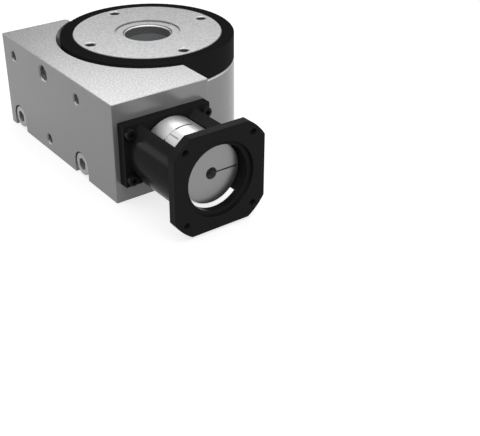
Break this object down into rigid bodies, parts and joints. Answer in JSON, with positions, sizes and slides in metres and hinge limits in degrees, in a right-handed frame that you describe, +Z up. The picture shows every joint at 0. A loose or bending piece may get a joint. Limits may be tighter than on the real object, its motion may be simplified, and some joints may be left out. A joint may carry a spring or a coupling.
{
  "type": "positioning rotary table",
  "caption": "Worm-driven positioning rotary table: aluminium block housing, turntable with black ring and centre bore, and a black bell adapter with coupling for a servo motor.",
  "frame": {"origin": "the table's axis of rotation where it meets the base plane of the housing", "axes": "+Z up along the table axis, +Y away from the motor (along the worm axis), +X to the right when looking from the motor along +Y"},
  "size_m": [0.148, 0.2216, 0.0718],
  "materials": {
    "housing_aluminium": "bead-blasted and clear anodised",
    "table_aluminium": "fine-turned",
    "black_anodised": "satin black anodised",
    "coupling_aluminium": "fine-turned, bright",
    "zinc_steel": "zinc plated",
    "black_steel": "black oxide",
    "ground_steel": "hardened and ground",
    "cast_carrier": "cast, machined seats",
    "bronze": "hobbed bronze",
    "seal_rubber": "nitrile rubber",
    "spider_elastomer": "polyurethane"
  },
  "bodies": {
    "housing": {"housing": "housing_aluminium", "base_cover": "housing_aluminium", "base_cover_screws": "zinc_steel", "base_seal": "seal_rubber", "worm_carrier": "cast_carrier", "carrier_screws": "zinc_steel", "adjusting_screws": "zinc_steel", "main_bearing_outer_ring": "ground_steel", "bearing_retainer": "ground_steel", "bearing_retainer_screws": "zinc_steel", "worm_front_bearing_outer_ring": "ground_steel", "worm_rear_bearing_outer_ring": "ground_steel", "worm_retaining_ring": "black_steel", "worm_shaft_seal": "seal_rubber", "motor_adapter": "black_anodised", "adapter_screws": "black_steel"},
    "table": {"table_plate": "table_aluminium", "table_ring": "black_anodised", "table_ring_screws": "zinc_steel", "spindle": "ground_steel", "spindle_screws": "zinc_steel", "worm_wheel": "bronze", "wheel_key": "ground_steel", "spindle_nut": "ground_steel", "main_bearing_inner_ring": "ground_steel"},
    "table_rollers": {"main_bearing_rollers": "ground_steel"},
    "worm": {"worm_shaft": "ground_steel", "worm_front_bearing_inner_ring": "ground_steel", "worm_rear_bearing_inner_ring": "ground_steel", "worm_lock_nut": "ground_steel", "coupling_worm_hub": "coupling_aluminium", "coupling_spider": "spider_elastomer", "coupling_motor_hub": "coupling_aluminium", "coupling_clamp_screws": "zinc_steel"},
    "worm_rollers": {"worm_front_bearing_rollers": "ground_steel", "worm_rear_bearing_rollers": "ground_steel"}
  },
  "joints": [
    {"name": "table_spin", "type": "hinge", "parent": "housing", "child": "table", "pos_m": [0, 0, 0], "axis": [0, 0, 1], "continuous": true},
    {"name": "table_rollers_orbit", "type": "hinge", "parent": "housing", "child": "table_rollers", "pos_m": [0, 0, 0], "axis": [0, 0, 1], "continuous": true},
    {"name": "worm_spin", "type": "hinge", "parent": "housing", "child": "worm", "pos_m": [-0.0487, 0, 0.035], "axis": [0, 1, 0], "continuous": true},
    {"name": "worm_rollers_orbit", "type": "hinge", "parent": "housing", "child": "worm_rollers", "pos_m": [-0.0487, 0, 0.035], "axis": [0, 1, 0], "continuous": true}
  ],
  "couplings": [
    {"joint": "table_rollers_orbit", "follows": "table_spin", "ratio": 0.47734},
    {"joint": "worm_spin", "follows": "table_spin", "ratio": 60},
    {"joint": "worm_rollers_orbit", "follows": "table_spin", "ratio": 23.881}
  ]
}
